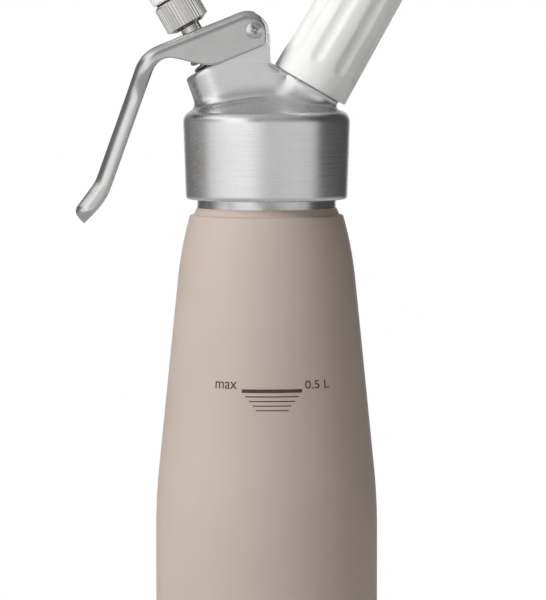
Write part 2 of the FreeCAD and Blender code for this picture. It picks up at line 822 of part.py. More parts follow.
def make_pivot_sleeve():
    """Barrel nut: its head lies outside the far cheek and its bore takes the pivot screw."""
    outside = lever_half_width + pivot_head_gap
    barrel = cross_rod(pivot_barrel_radius, -outside, outside)
    head = cross_rod(pivot_head_radius, outside, outside + pivot_head_height)
    bore_end = pivot_screw_length + pivot_screw_tip_gap - outside
    bore = cross_rod(pivot_screw_radius, -outside - overrun, bore_end)
    return placed(barrel.fuse(head).cut(bore), Placement(pivot, Rotation()))


def make_pivot_screw():
    """Screw with a low domed head, on the near side."""
    shank_radius = pivot_screw_radius - running_fit
    dome_radius = (pivot_head_radius ** 2 + pivot_dome_rise ** 2) / (2 * pivot_dome_rise)
    ball = Part.makeSphere(dome_radius, Vector(0, 0, dome_radius - pivot_head_height))
    head = rod(pivot_head_radius, -pivot_head_height, 0).common(ball)
    screw = rod(shank_radius, 0, pivot_screw_length).fuse(head)
    screw.rotate(Vector(), Vector(1, 0, 0), -90)
    screw.translate(Vector(0, -lever_half_width - pivot_head_gap, 0))
    return placed(screw, Placement(pivot, Rotation()))


# ---------------------------------------------------------------- gas inlet
def make_piercing_body():
    top = charger_mouth - inlet_seal_thickness
    body = tube(piercing_body_radius - running_fit, gas_way_radius,
                piercing_body_bottom + piercing_body_gap, top)
    return body.cut(rod(needle_radius + running_fit, piercing_body_bottom, top + overrun))


def make_piercing_needle():
    point = charger_mouth + needle_reach
    seat = charger_mouth - inlet_seal_thickness
    shank_radius = gas_way_radius - running_fit
    needle = turned([
        (0, needle_bottom),
        (shank_radius, needle_bottom),
        (shank_radius, seat - needle_taper),
        (needle_radius, seat),
        (needle_radius, point - needle_point_length),
        (needle_tip_radius, point),
        (0, point),
    ])
    return needle.cut(rod(needle_bore_radius, needle_bottom - overrun, point - needle_point_length))


def make_check_valve():
    """Rubber cup that lets the gas in and keeps the cream out."""
    top = piercing_body_bottom + piercing_body_gap
    bottom = top - check_valve_length
    rim_radius = check_valve_radius - running_fit
    return turned([
        (0, bottom),
        (rim_radius, top - check_valve_rim),
        (rim_radius, top),
        (gas_way_radius, top),
        (0, bottom + check_valve_skin),
    ])


def make_charger_seal():
    bottom = charger_mouth - inlet_seal_thickness
    return tube(charger_neck_radius, needle_radius + running_fit, bottom, charger_mouth - running_fit)


def make_gas_charger():
    neck_end = charger_mouth + charger_neck_length
    shoulder_end = neck_end + charger_shoulder_length
    bottom = charger_mouth + charger_length
    outside = turned([
        (0, charger_mouth),
        (charger_neck_radius, charger_mouth, charger_lip_radius),
        (charger_neck_radius, neck_end, charger_neck_blend),
        (charger_radius, shoulder_end, charger_shoulder_radius),
        (charger_radius, bottom, charger_end_radius),
        (0, bottom),
    ])
    inner = charger_radius - charger_wall
    inner_neck = charger_neck_radius - charger_wall
    cap_end = charger_mouth + charger_cap
    inside = turned([
        (0, cap_end),
        (inner_neck, cap_end),
        (inner_neck, neck_end),
        (inner, shoulder_end),
        (inner, bottom - charger_wall, charger_end_radius - charger_wall),
        (0, bottom - charger_wall),
    ])
    return outside.cut([inside, rod(charger_pierced_radius, charger_mouth - overrun, cap_end + overrun)])


# ---------------------------------------------------------------- charger holder
def make_holder_insert():
    """Metal sleeve with the holder's thread, moulded into its mouth."""
    bottom = inlet_face + holder_gap + insert_recess
    return tube(insert_radius, thread_boss_radius + thread_clearance, bottom, bottom + insert_length)


def make_charger_holder():
    bottom = inlet_face + holder_gap
    top = bottom + holder_length
    draft = math.tan(math.radians(holder_draft))
    top_radius = holder_mouth_radius - holder_length * draft
    insert_end = bottom + insert_recess + insert_length
    bore = charger_radius + holder_bore_clearance
    bore_end = charger_mouth + charger_length + running_fit
    holder = turned([
        (0, bottom), (holder_mouth_radius, bottom, holder_edge_radius),
        (top_radius, top, holder_end_radius), (0, top),
    ])
    cavity = turned([
        (0, bottom - overrun),
        (insert_radius, bottom - overrun),
        (insert_radius, insert_end),
        (bore, insert_end),
        (bore, bore_end, holder_bore_end_radius),
        (0, bore_end),
    ])
    holder = holder.cut(cavity)
    cutter_radius = flute_width ** 2 / (8 * flute_depth) + flute_depth / 2
    flute_bottom = bottom + flute_start + flute_width / 2
    flute_top = top - flute_end_margin - flute_width / 2
    lean = Rotation(Vector(0, 1, 0), -holder_draft)
    flutes = []
    for number in range(flute_count):
        flute = Part.makeCylinder(cutter_radius, flute_top - flute_bottom)
        for end in (0, flute_top - flute_bottom):
            flute = flute.fuse(Part.makeSphere(cutter_radius, Vector(0, 0, end)))
        reach = holder_mouth_radius - (flute_bottom - bottom) * draft + cutter_radius - flute_depth
        flute = placed(flute, Placement(Vector(reach, 0, flute_bottom), lean))
        flute.rotate(Vector(), Vector(0, 0, 1), flute_first_angle + number * 360 / flute_count)
        flutes.append(flute)
    return holder.cut(flutes)


os.makedirs("parts", exist_ok=True)

save("bottle", make_bottle())
save("head_gasket", make_head_gasket())
save("head_casting", make_head_casting())
save("lever", make_lever())
save("pivot_sleeve", make_pivot_sleeve())
save("pivot_screw", make_pivot_screw())

for node, make in (
    ("guide_bush", make_guide_bush),
    ("stem_o_ring", make_stem_o_ring),
    ("valve_stem", make_valve_stem),
    ("poppet_gasket", make_poppet_gasket),
    ("poppet_plug", make_poppet_plug),
    ("push_collar", make_push_collar),
    ("retaining_clip", make_retaining_clip),
    ("return_spring", make_return_spring),
    ("nozzle_adapter", make_nozzle_adapter),
    ("adapter_seal", make_adapter_seal),
    ("nozzle", make_nozzle),
):
    save(node, placed(make(), valve_line))

for node, make in (
    ("piercing_body", make_piercing_body),
    ("piercing_needle", make_piercing_needle),
    ("check_valve", make_check_valve),
    ("charger_seal", make_charger_seal),
    ("gas_charger", make_gas_charger),
    ("holder_insert", make_holder_insert),
    ("charger_holder", make_charger_holder),
):
    save(node, placed(make(), charger_line))
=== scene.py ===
import json
import math

import bmesh
import bpy
import numpy as np
from mathutils import Matrix, Vector


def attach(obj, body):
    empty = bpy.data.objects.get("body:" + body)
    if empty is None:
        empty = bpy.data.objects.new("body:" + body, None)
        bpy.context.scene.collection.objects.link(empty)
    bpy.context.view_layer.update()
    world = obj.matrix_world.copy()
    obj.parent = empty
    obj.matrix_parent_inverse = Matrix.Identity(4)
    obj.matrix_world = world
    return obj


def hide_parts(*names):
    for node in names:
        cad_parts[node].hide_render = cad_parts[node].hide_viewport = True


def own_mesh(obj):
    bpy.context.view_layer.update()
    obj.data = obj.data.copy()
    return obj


# Whipped cream dispenser. Metres, the bottle stands on Z = 0 and -Y is the side with the fill mark.
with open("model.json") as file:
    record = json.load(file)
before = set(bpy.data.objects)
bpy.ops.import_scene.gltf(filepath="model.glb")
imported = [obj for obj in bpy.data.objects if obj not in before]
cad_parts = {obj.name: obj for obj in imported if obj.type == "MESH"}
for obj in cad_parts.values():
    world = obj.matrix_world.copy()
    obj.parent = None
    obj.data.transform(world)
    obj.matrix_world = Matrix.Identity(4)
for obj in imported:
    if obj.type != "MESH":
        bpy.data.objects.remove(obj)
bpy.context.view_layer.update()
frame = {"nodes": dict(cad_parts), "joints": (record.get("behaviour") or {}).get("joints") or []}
mm = 0.001
nodes = frame["nodes"]
joints = {joint["name"]: joint for joint in frame["joints"]}


# Small tools
def hexColour(text):
    # An sRGB colour turned linear
    channels = [int(text[place:place + 2], 16) / 255 for place in (1, 3, 5)]
    linear = [value / 12.92 if value <= 0.04045 else ((value + 0.055) / 1.055) ** 2.4 for value in channels]
    return (*linear, 1)


def addNode(tree, kind, settings=None, links=None):
    # Sockets go by name, or by number where names repeat: a colour Mix takes 0, 6 and 7 and gives 2
    node = tree.nodes.new("ShaderNode" + kind)
    for key, value in (settings or {}).items():
        if key == "stops":
            band = node.color_ramp.elements
            for place, (position, grey) in enumerate(value):
                stop = band[place] if place < 2 else band.new(position)
                stop.position = position
                stop.color = (grey, grey, grey, 1)
        elif isinstance(key, int) or key in node.inputs:
            node.inputs[key].default_value = value
        else:
            setattr(node, key, value)
    for key, source in (links or {}).items():
        socket = source if isinstance(source, bpy.types.NodeSocket) else source.outputs[0]
        tree.links.new(socket, node.inputs[key])
    return node


def newMaterial(name):
    material = bpy.data.materials.new(name)
    material.use_nodes = True
    material.node_tree.nodes.clear()
    return material, material.node_tree


def perMetre(millimetres):
    return 1000 / millimetres


def glossRange(finish):
    # Roughness varies by its spread where a noise runs through its middle values
    return {
        "From Min": 0.3, "From Max": 0.7,
        "To Min": finish["roughness"] - finish["spread"], "To Max": finish["roughness"] + finish["spread"],
    }


def axisFrame(direction, origin):
    # Its Z runs along the direction and its Y stays the world's Y
    up = Vector(direction).normalized()
    side = Vector((0, 1, 0)).cross(up)
    turn = Matrix((side, Vector((0, 1, 0)), up)).transposed().to_4x4()
    return Matrix.Translation(Vector(origin)) @ turn


linesMeet = Vector((0, 0, 201.2 * mm))  # valve line and charger line cross here
valveAxis = Vector(joints["nozzle_lift"]["axis"])
chargerAxis = Vector(joints["holder_lift"]["axis"])
valveFrame = axisFrame(valveAxis, linesMeet)
chargerFrame = axisFrame(chargerAxis, linesMeet)
pivotPoint = Vector(joints["lever_squeeze"]["pos_m"])

# Camera: a long lens a little above the head, looking four degrees down
cameraSettings = {
    "place": (0.0023, -1.440, 0.2512),
    "target": (0.0023, 0, 0.1505),
    "lens": 240,
    "sensor": 36,
    "near": 0.05,
    "far": 20,
}
cameraData = bpy.data.cameras.new("camera")
cameraData.sensor_fit = "AUTO"
cameraData.sensor_width = cameraSettings["sensor"]
cameraData.lens = cameraSettings["lens"]
cameraData.clip_start = cameraSettings["near"]
cameraData.clip_end = cameraSettings["far"]
camera = bpy.data.objects.new("camera", cameraData)
bpy.context.scene.collection.objects.link(camera)
camera.location = cameraSettings["place"]
aim = Vector(cameraSettings["target"]) - camera.location
camera.rotation_mode = "QUATERNION"
camera.rotation_quaternion = aim.to_track_quat("-Z", "Y")
bpy.context.scene.camera = camera
bpy.context.scene.view_settings.view_transform = "Standard"
print("camera placed")

# Studio: the camera, and what is seen through clear parts, sees white. Metal sees a softbox on the left,
# a grey room in front, a black flag on the right and lit paper straight behind the object.
studio = {
    # The room's light in rows from the horizon up. A row starts with the height of its direction, from
    # -1 to 1, then come degrees round from the camera, right is positive, with the light there.
    "rows": [
        (0.05, [
            (-180, 0.95), (-166, 0.95), (-156, 0.16), (-124, 0.17), (-100, 0.24), (-84, 0.74), (-60, 0.98),
            (-24, 1.09), (-8, 0.78), (2, 0.60), (46, 0.68), (68, 0.60), (80, 0.12), (92, 0.072),
            (154, 0.072), (166, 0.95), (180, 0.95),
        ]),
        (0.30, [
            (-180, 0.55), (-160, 0.42), (-140, 0.17), (-84, 0.17), (-70, 0.60), (-58, 1.10), (-34, 1.15),
            (-19, 0.36), (2, 0.44), (30, 0.36), (62, 0.30), (78, 0.08), (150, 0.06), (166, 0.50),
            (180, 0.55),
        ]),
        (0.62, [
            (-180, 0.33), (-140, 0.34), (-112, 0.80), (-92, 1.15), (-38, 1.15), (-22, 0.27), (0, 0.36),
            (30, 0.27), (60, 0.20), (80, 0.06), (150, 0.06), (180, 0.33),
        ]),
        (0.93, [(-180, 0.40), (-110, 0.50), (-60, 0.50), (0, 0.42), (60, 0.36), (120, 0.34), (180, 0.40)]),
    ],
    "nearFloor": 0.42,  # what metal sees of the floor round the bottle
    "nearReach": 0.30,  # metres from the bottle
    "farReach": 1.60,
    "diffuseShare": 0.58,  # how much of the room's light falls on matt surfaces
    "paper": "#ffffff",
}


def roomLight(tree, direction, rows):
    # Light by direction: each row runs round the object, and heights between two rows get a mix of them
    axes = addNode(tree, "SeparateXYZ", links={0: direction})
    towards = addNode(tree, "Math", {"operation": "MULTIPLY", 1: -1.0}, {0: axes.outputs["Y"]})
    angle = addNode(tree, "Math", {"operation": "ARCTAN2"}, {0: axes.outputs["X"], 1: towards})
    turn = addNode(tree, "Math", {"operation": "MULTIPLY_ADD", 1: 0.5 / math.pi, 2: 0.5}, {0: angle})
    light, lower = None, None
    for height, greys in rows:
        stops = [(degrees / 360 + 0.5, grey) for degrees, grey in greys]
        row = addNode(tree, "ValToRGB", {"stops": stops}, {0: turn})
        if light is None:
            light = row.outputs[0]
        else:
            reach = {"From Min": lower, "From Max": height}
            rise = addNode(tree, "MapRange", reach, {"Value": axes.outputs["Z"]})
            light = addNode(tree, "Mix", {"data_type": "RGBA"}, {0: rise, 6: light, 7: row}).outputs[2]
        lower = height
    return light


def buildWorld():
    world = bpy.data.worlds.new("studio")
    world.use_nodes = True
    tree = world.node_tree
    tree.nodes.clear()
    direction = addNode(tree, "TexCoord").outputs["Generated"]
    light = roomLight(tree, direction, studio["rows"])
    rays = addNode(tree, "LightPath")
    level = addNode(tree, "MapRange", {"To Min": 1.0, "To Max": studio["diffuseShare"]},
                    {"Value": rays.outputs["Is Diffuse Ray"]})
    room = addNode(tree, "Background", links={"Color": light, "Strength": level})
    paper = addNode(tree, "Background", {"Color": hexColour(studio["paper"]), "Strength": 1.0})
    seen = addNode(tree, "Math", {"operation": "MAXIMUM"},
                   {0: rays.outputs["Is Camera Ray"], 1: rays.outputs["Is Transmission Ray"]})
    mixed = addNode(tree, "MixShader", links={0: seen, 1: room, 2: paper})
    addNode(tree, "OutputWorld", links={"Surface": mixed})
    bpy.context.scene.world = world


buildWorld()

# Lamps for the matt surfaces, out of sight of the camera and of the metal
lampTarget = Vector((0, 0, 0.17))
lamps = {
    "softbox": {"place": (-1.1, -0.9, 1.3), "size": 0.9, "power": 24.5},
    "fill": {"place": (0.5, -1.6, 0.9), "size": 1.0, "power": 0.3},
    "backLight": {"place": (0.1, 1.6, 1.4), "size": 0.8, "power": 5.0},
}
for lampName, lamp in lamps.items():
    lampData = bpy.data.lights.new(lampName, "AREA")
    lampData.size = lamp["size"]
    lampData.energy = lamp["power"]
    lampObject = bpy.data.objects.new(lampName, lampData)
    bpy.context.scene.collection.objects.link(lampObject)
    lampObject.location = lamp["place"]
    lampAim = lampTarget - lampObject.location
    lampObject.rotation_mode = "QUATERNION"
    lampObject.rotation_quaternion = lampAim.to_track_quat("-Z", "Y")
    lampObject.visible_camera = False
    lampObject.visible_glossy = False

# Floor: pale paper that keeps the shadow near the bottle and runs into white further out. In metal it
# shows the light of the side that it lies on.
floorSettings = {
    "radius": 4.0, "shadowReach": 0.09, "fadeReach": 0.24,  # metres
    "paper": "#f4f3f1", "segments": 96,
}


def buildFloor():
    mesh = bpy.data.meshes.new("floor")
    shape = bmesh.new()
    rim = {"segments": floorSettings["segments"], "radius": floorSettings["radius"]}
    bmesh.ops.create_circle(shape, cap_ends=True, **rim)
    shape.to_mesh(mesh)
    shape.free()
    floor = bpy.data.objects.new("floor", mesh)
    bpy.context.scene.collection.objects.link(floor)
    material, tree = newMaterial("studioPaper")
    place = addNode(tree, "TexCoord").outputs["Object"]
    reach = addNode(tree, "VectorMath", {"operation": "LENGTH"}, {0: place})
    fade = addNode(tree, "MapRange", {
        "interpolation_type": "SMOOTHSTEP",
        "From Min": floorSettings["shadowReach"], "From Max": floorSettings["fadeReach"],
    }, {"Value": reach.outputs["Value"]})
    matt = addNode(tree, "BsdfDiffuse", {"Color": hexColour(floorSettings["paper"])})
    white = addNode(tree, "Emission", {"Color": hexColour(studio["paper"]), "Strength": 1.0})
    sideLight = roomLight(tree, place, studio["rows"][:1])
    far = addNode(tree, "MapRange", {
        "interpolation_type": "SMOOTHSTEP", "From Min": studio["nearReach"], "From Max": studio["farReach"],
    }, {"Value": reach.outputs["Value"]})
    nearFloor = (studio["nearFloor"],) * 3 + (1,)
    mirrored = addNode(tree, "Mix", {"data_type": "RGBA", 6: nearFloor}, {0: far, 7: sideLight})
    mirrored = addNode(tree, "Emission", {"Strength": 1.0}, {"Color": mirrored.outputs[2]})
    rays = addNode(tree, "LightPath")
    seen = addNode(tree, "Math", {"operation": "MAXIMUM"},
                   {0: rays.outputs["Is Camera Ray"], 1: rays.outputs["Is Transmission Ray"]})
    share = addNode(tree, "Math", {"operation": "MULTIPLY"}, {0: seen, 1: fade.outputs["Result"]})
    glossy = addNode(tree, "MixShader", links={0: rays.outputs["Is Glossy Ray"], 1: matt, 2: mirrored})
    mixed = addNode(tree, "MixShader", links={0: share, 1: glossy, 2: white})
    addNode(tree, "OutputMaterial", links={"Surface": mixed})
    mesh.materials.append(material)


buildFloor()
print("studio built")

# Metals. Lines run round lineAxis, linePitch apart and lineLength long, all in mm, and lineDepth is how
# deep they are cut. Real lines lie about 0.1 mm apart, and all of these are drawn coarser so that they
# show. Patches are the slow change in tone and gloss that handling and plating leave.
metals = {
    # Gravity-cast aluminium, linished on a belt: long level lines that drag the highlights sideways
    "aluminiumLinished": {
        "colour": "#f1f1f1", "dark": "#eaeaea", "roughness": 0.27, "spread": 0.07,
        "lineAxis": (0, 0, 1), "linePitch": 0.55, "lineLength": 16.0, "lineDepth": 0.006, "patch": 16.0,
    },
    # Die-cast aluminium, tumbled and polished: soft bright shine with a faint cloudiness
    "aluminiumTumbled": {
        "colour": "#d8d8d7", "dark": "#d0d0cf", "roughness": 0.17, "spread": 0.05,
        "lineAxis": (0, 1, 0), "linePitch": 0.9, "lineLength": 4.0, "lineDepth": 0.006, "patch": 12.0,
    },
    # Drawn aluminium neck, skimmed in a lathe: fine bright rings. Its colour and dark tone are kept low,
    # partly for bare aluminium and partly as painted shade from the skirt above.
    "aluminiumTurnedShaded": {
        "colour": "#d9d9d8", "dark": "#b9b9b7", "roughness": 0.20, "spread": 0.06,
        "lineAxis": (0, 0, 1), "linePitch": 0.45, "lineLength": 30.0, "lineDepth": 0.008, "patch": 7.0,
    },
    # Nickel-plated brass, plated over a fresh knurl: pale satin that gathers light from all round
    "nickelPlated": {
        "colour": "#f9f8f6", "dark": "#f1f0ed", "roughness": 0.27, "spread": 0.03,
        "lineAxis": tuple(valveAxis), "linePitch": 0.6, "lineLength": 20.0, "lineDepth": 0.002,
        "patch": 5.0,
    },
    # Stainless steel, turned from bar: tight rings and a cool shine
    "stainlessTurned": {
        "colour": "#e6e5e2", "dark": "#d2d1ce", "roughness": 0.20, "spread": 0.06,
        "lineAxis": tuple(valveAxis), "linePitch": 0.4, "lineLength": 25.0, "lineDepth": 0.004,
        "patch": 4.0,
    },
    # Spring steel wire, drawn and oiled, with streaks along the coils. Its colours are darkened as painted
    # shade, standing for the dark surroundings that the coils reflect.
    "steelWireShadeDarkened": {
        "colour": "#b6b4af", "dark": "#8d8b86", "roughness": 0.28, "spread": 0.08,
        "lineAxis": tuple(valveAxis), "linePitch": 0.35, "lineLength": 9.0, "lineDepth": 0.004,
        "patch": 3.0,
    },
    # Zinc-plated steel, cold-headed: bright, slightly frosted
    "zincPlated": {
        "colour": "#dedfe1", "dark": "#cbcdd0", "roughness": 0.14, "spread": 0.05,
        "lineAxis": (0, 1, 0), "linePitch": 0.5, "lineLength": 3.0, "lineDepth": 0.003, "patch": 2.0,
    },
    # Brass, turned from bar: yellow rings, dulled in patches
    "brassTurned": {
        "colour": "#c9a75c", "dark": "#a98443", "roughness": 0.26, "spread": 0.08,
        "lineAxis": tuple(chargerAxis), "linePitch": 0.4, "lineLength": 25.0, "lineDepth": 0.005,
        "patch": 3.5,
    },
    # Deep-drawn steel capsule, lacquered clear: satin, with draw lines round it
    "steelDrawn": {
        "colour": "#bdbab4", "dark": "#a5a29c", "roughness": 0.28, "spread": 0.06,
        "lineAxis": tuple(chargerAxis), "linePitch": 0.8, "lineLength": 18.0, "lineDepth": 0.004,
        "patch": 6.0,
    },
}


def makeMetal(name, finish):
    material, tree = newMaterial(name)
    place = addNode(tree, "TexCoord").outputs["Object"]
    axis = finish["lineAxis"]
    along = addNode(tree, "VectorMath", {"operation": "DOT_PRODUCT", 1: axis}, {0: place}).outputs["Value"]
    counted = addNode(tree, "Math", {"operation": "MULTIPLY", 1: perMetre(finish["linePitch"])}, {0: along})
    lifted = addNode(tree, "VectorMath", {"operation": "SCALE", 0: axis}, {"Scale": counted})
    stretch = {"operation": "SCALE", "Scale": perMetre(finish["lineLength"])}
    stretched = addNode(tree, "VectorMath", stretch, {0: place})
    lineSpace = addNode(tree, "VectorMath", {"operation": "ADD"}, {0: lifted, 1: stretched})
    grain = {"Scale": 1.0, "Detail": 4.0, "Roughness": 0.65}
    lines = addNode(tree, "TexNoise", grain, {"Vector": lineSpace})
    cloud = {"Scale": perMetre(finish["patch"]), "Detail": 3.0}
    patches = addNode(tree, "TexNoise", cloud, {"Vector": place})
    fade = addNode(tree, "MapRange", {"From Min": 0.3, "From Max": 0.6}, {"Value": patches})
    shades = {"data_type": "RGBA", 6: hexColour(finish["dark"]), 7: hexColour(finish["colour"])}
    tone = addNode(tree, "Mix", shades, {0: fade}).outputs[2]
    worn = addNode(tree, "Math", {"operation": "MULTIPLY", 1: 0.6}, {0: lines})
    worn = addNode(tree, "Math", {"operation": "MULTIPLY_ADD", 1: 0.4}, {0: patches, 2: worn})
    rough = addNode(tree, "MapRange", glossRange(finish), {"Value": worn})
    cut = {"Strength": 1.0, "Distance": finish["lineDepth"] * mm}
    relief = addNode(tree, "Bump", cut, {"Height": lines})
    shader = addNode(tree, "BsdfPrincipled", {"Metallic": 1.0}, {
        "Base Color": tone, "Roughness": rough, "Normal": relief,
    })
    addNode(tree, "OutputMaterial", links={"Surface": shader})
    return material


# Plastics, rubbers, lacquer and ink. Grain is the moulded or sprayed texture, in mm, and grainDepth its
# height. Patches are slow changes in tone, and glow is how much light spreads inside.
glowReach = 1.5 * mm
softs = {
    # Polypropylene, injection moulded in a spark-eroded tool: satin white that glows a little
    "polypropyleneMoulded": {
        "colour": "#f3f3f1", "dark": "#ebebe9", "roughness": 0.34, "spread": 0.05,
        "grain": 0.7, "grainDepth": 0.006, "patch": 25.0, "glow": 0.12,
    },
    # Clear-white acrylic copolymer, moulded in a polished tool: glossy and milky
    "copolymerMoulded": {
        "colour": "#f2f2ee", "dark": "#e9e9e4", "roughness": 0.20, "spread": 0.04,
        "grain": 1.2, "grainDepth": 0.004, "patch": 12.0, "glow": 0.0,
    },
    # Acetal, turned from white rod: dense, waxy white
    "acetalTurned": {
        "colour": "#ecebe6", "dark": "#e2e1db", "roughness": 0.36, "spread": 0.05,
        "grain": 0.4, "grainDepth": 0.004, "patch": 6.0, "glow": 0.10,
    },
    # Nitrile rubber, compression moulded: black with a dusty sheen
    "nitrileMoulded": {
        "colour": "#1d1d1c", "dark": "#151514", "roughness": 0.58, "spread": 0.10,
        "grain": 0.3, "grainDepth": 0.010, "patch": 4.0, "glow": 0.0,
    },
    # Silicone rubber, moulded: milky grey-white, soft shine
    "siliconeMoulded": {
        "colour": "#dcdad2", "dark": "#cfcdc5", "roughness": 0.48, "spread": 0.08,
        "grain": 0.5, "grainDepth": 0.006, "patch": 9.0, "glow": 0.25,
    },
    # Pearl-matt lacquer sprayed on the aluminium bottle: fine orange peel, dry soft shine
    "lacquerSprayed": {
        "colour": "#c3b4aa", "dark": "#bfafa5", "roughness": 0.46, "spread": 0.05,
        "grain": 0.8, "grainDepth": 0.008, "patch": 45.0, "glow": 0.0,
    },
    # Screen-printed enamel ink: flat brown-black that thins a little towards pinholes
    "inkPrinted": {
        "colour": "#473e38", "dark": "#3b332d", "roughness": 0.42, "spread": 0.06,
        "grain": 0.25, "grainDepth": 0.006, "patch": 3.0, "glow": 0.0,
    },
}


def makeSoft(name, finish):
    material, tree = newMaterial(name)
    place = addNode(tree, "TexCoord").outputs["Object"]
    fine = {"Scale": perMetre(finish["grain"]), "Detail": 3.0}
    grain = addNode(tree, "TexNoise", fine, {"Vector": place})
    cloud = {"Scale": perMetre(finish["patch"]), "Detail": 4.0}
    patches = addNode(tree, "TexNoise", cloud, {"Vector": place})
    fade = addNode(tree, "MapRange", {"From Min": 0.35, "From Max": 0.6}, {"Value": patches})
    shades = {"data_type": "RGBA", 6: hexColour(finish["dark"]), 7: hexColour(finish["colour"])}
    tone = addNode(tree, "Mix", shades, {0: fade}).outputs[2]
    rough = addNode(tree, "MapRange", glossRange(finish), {"Value": patches})
    texture = {"Strength": 1.0, "Distance": finish["grainDepth"] * mm}
    relief = addNode(tree, "Bump", texture, {"Height": grain})
    shader = addNode(tree, "BsdfPrincipled", {
        "Subsurface Weight": finish["glow"], "Subsurface Radius": (1.0, 1.0, 0.9),
        "Subsurface Scale": glowReach,
    }, {"Base Color": tone, "Roughness": rough, "Normal": relief})
    addNode(tree, "OutputMaterial", links={"Surface": shader})
    return material


materials = {name: makeMetal(name, finish) for name, finish in metals.items()}
materials.update({name: makeSoft(name, finish) for name, finish in softs.items()})
print("materials made")


# Mesh tools. Profiles and settings are in millimetres, meshes in metres.
def meshOf(shape, name, sharpAngle=35):
    mesh = bpy.data.meshes.new(name)
    shape.to_mesh(mesh)
    shape.free()
    mesh.polygons.foreach_set("use_smooth", [True] * len(mesh.polygons))
    mesh.set_sharp_from_angle(angle=math.radians(sharpAngle))
    return mesh


def newPiece(name, mesh, body, materialName, replaced=()):
    mesh.materials.clear()
    mesh.materials.append(materials[materialName])
    piece = bpy.data.objects.new(name, mesh)
    bpy.context.scene.collection.objects.link(piece)
    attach(piece, body)
    if replaced:
        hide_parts(*replaced)
    return piece


def roundedProfile(corners, steps=6):
    # Corners are (radius, height) or (radius, height, rounding)
    points = [Vector(corner[:2]) for corner in corners]
    path = []
    for place, corner in enumerate(corners):
        if len(corner) < 3:
            path.append(points[place])
            continue
        before = (points[place - 1] - points[place]).normalized()
        after = (points[place + 1] - points[place]).normalized()
        halfAngle = before.angle(after) / 2
        centre = points[place] + (before + after).normalized() * (corner[2] / math.sin(halfAngle))
        reach = corner[2] / math.tan(halfAngle)
        startArm = points[place] + before * reach - centre
        endArm = points[place] + after * reach - centre
        for step in range(steps + 1):
            path.append(centre + startArm.lerp(endArm, step / steps).normalized() * corner[2])
    return [tuple(point) for point in path]


def joinRings(shape, rings, capped=False):
    # Faces from each ring to the next. Where a ring is one point on the axis, they are triangles.
    for low, high in zip(rings, rings[1:]):
        for turn in range(len(low)):
            after = (turn + 1) % len(low)
            corners = dict.fromkeys((low[turn], high[turn], high[after], low[after]))
            if len(corners) > 2:
                shape.faces.new(tuple(corners))
    if capped:
        shape.faces.new(rings[0])
        shape.faces.new(reversed(rings[-1]))
    bmesh.ops.recalc_face_normals(shape, faces=shape.faces)


def lathe(profile, segments, place=Matrix(), closed=True):
    shape = bmesh.new()
    rings = []
    for radius, height in profile:
        if radius < 1e-6:
            rings.append([shape.verts.new(place @ Vector((0, 0, height * mm)))] * segments)
            continue
        ring = []
        for turn in range(segments):
            angle = 2 * math.pi * turn / segments
            point = Vector((radius * math.cos(angle), radius * math.sin(angle), height)) * mm
            ring.append(shape.verts.new(place @ point))
        rings.append(ring)
    joinRings(shape, rings + rings[:1] if closed else rings)
    return shape


# A thread's ridge: half its root and half its crest as shares of the pitch, and how low its ends run out
threadForm = {"root": 0.42, "crest": 0.14, "end": 0.08}


def addThread(shape, thread, place=Matrix()):
    # One ridge of trapezoid section that winds up the part and runs out at both ends
    pitch = thread["pitch"]
    count = int((thread["top"] - thread["bottom"]) / pitch * thread["segments"])
    root = thread["root"] - thread["sunk"]
    foot, top = threadForm["root"] * pitch, threadForm["crest"] * pitch
    rings = []
    for step in range(count + 1):
        angle = 2 * math.pi * step / thread["segments"]
        middle = thread["bottom"] + pitch * step / thread["segments"]
        fade = min(1, min(step, count - step) / (thread["segments"] * thread["runOut"]))
        crest = root + (thread["crest"] - root) * max(fade, threadForm["end"])
        ring = []
        for radius, height in ((root, -foot), (crest, -top), (crest, top), (root, foot)):
            point = Vector((radius * math.cos(angle), radius * math.sin(angle), middle + height)) * mm
            ring.append(shape.verts.new(place @ point))
        rings.append(ring)
    joinRings(shape, rings, capped=True)


def evaluated(mesh, kind, settings):
    # The mesh after one modifier
    block = bpy.data.objects.new("block", mesh)
    bpy.context.scene.collection.objects.link(block)
    modifier = block.modifiers.new(kind, kind)
    for key, value in settings.items():
        setattr(modifier, key, value)
    graph = bpy.context.evaluated_depsgraph_get()
    graph.update()
    fresh = bpy.data.meshes.new_from_object(block.evaluated_get(graph))
    bpy.data.objects.remove(block)
    return fresh


# How far a vertex goes to the middle of its neighbours in one round of relax, as a share, and how many
# rounds use one set of normals
pulls = {"even": 0.5, "seam": 0.05, "finish": 0.4}
normalsEvery = 8


def pullFor(share):
    # From the small pull that leaves the edge of a seam in place to the full one
    return pulls["seam"] + (pulls["even"] - pulls["seam"]) * share


def relax(mesh, rounds, share, side=0):
    # Evens the mesh out, with one pull for all vertices or one for each. Side 1 only fills hollow corners,
    # and side -1 only wears down edges.
    count = len(mesh.vertices)
    points = np.empty(count * 3)
    mesh.vertices.foreach_get("co", points)
    points = points.reshape(-1, 3)
    ends = np.empty(len(mesh.edges) * 2, dtype=np.int64)
    mesh.edges.foreach_get("vertices", ends)
    first, second = ends.reshape(-1, 2).T
    if np.ndim(share):
        used = (share[first] > 0) | (share[second] > 0)
        first, second = first[used], second[used]
    valence = np.maximum(np.bincount(first, minlength=count) + np.bincount(second, minlength=count), 1)
    pull = (share if np.ndim(share) else np.full(count, share))[:, None]
    normals = np.empty(count * 3)
    for number in range(rounds):
        middle = np.stack([
            np.bincount(first, along[second], count) + np.bincount(second, along[first], count)
            for along in points.T
        ], axis=1) / valence[:, None]
        step = (middle - points) * pull
        if side:
            if number % normalsEvery == 0:
                mesh.vertices.foreach_set("co", points.ravel())
                mesh.update()
                mesh.vertex_normals.foreach_get("vector", normals)
            outward = (step * normals.reshape(-1, 3)).sum(axis=1)
            step[outward * side < 0] = 0
        points = points + step
    mesh.vertices.foreach_set("co", points.ravel())
    mesh.update()


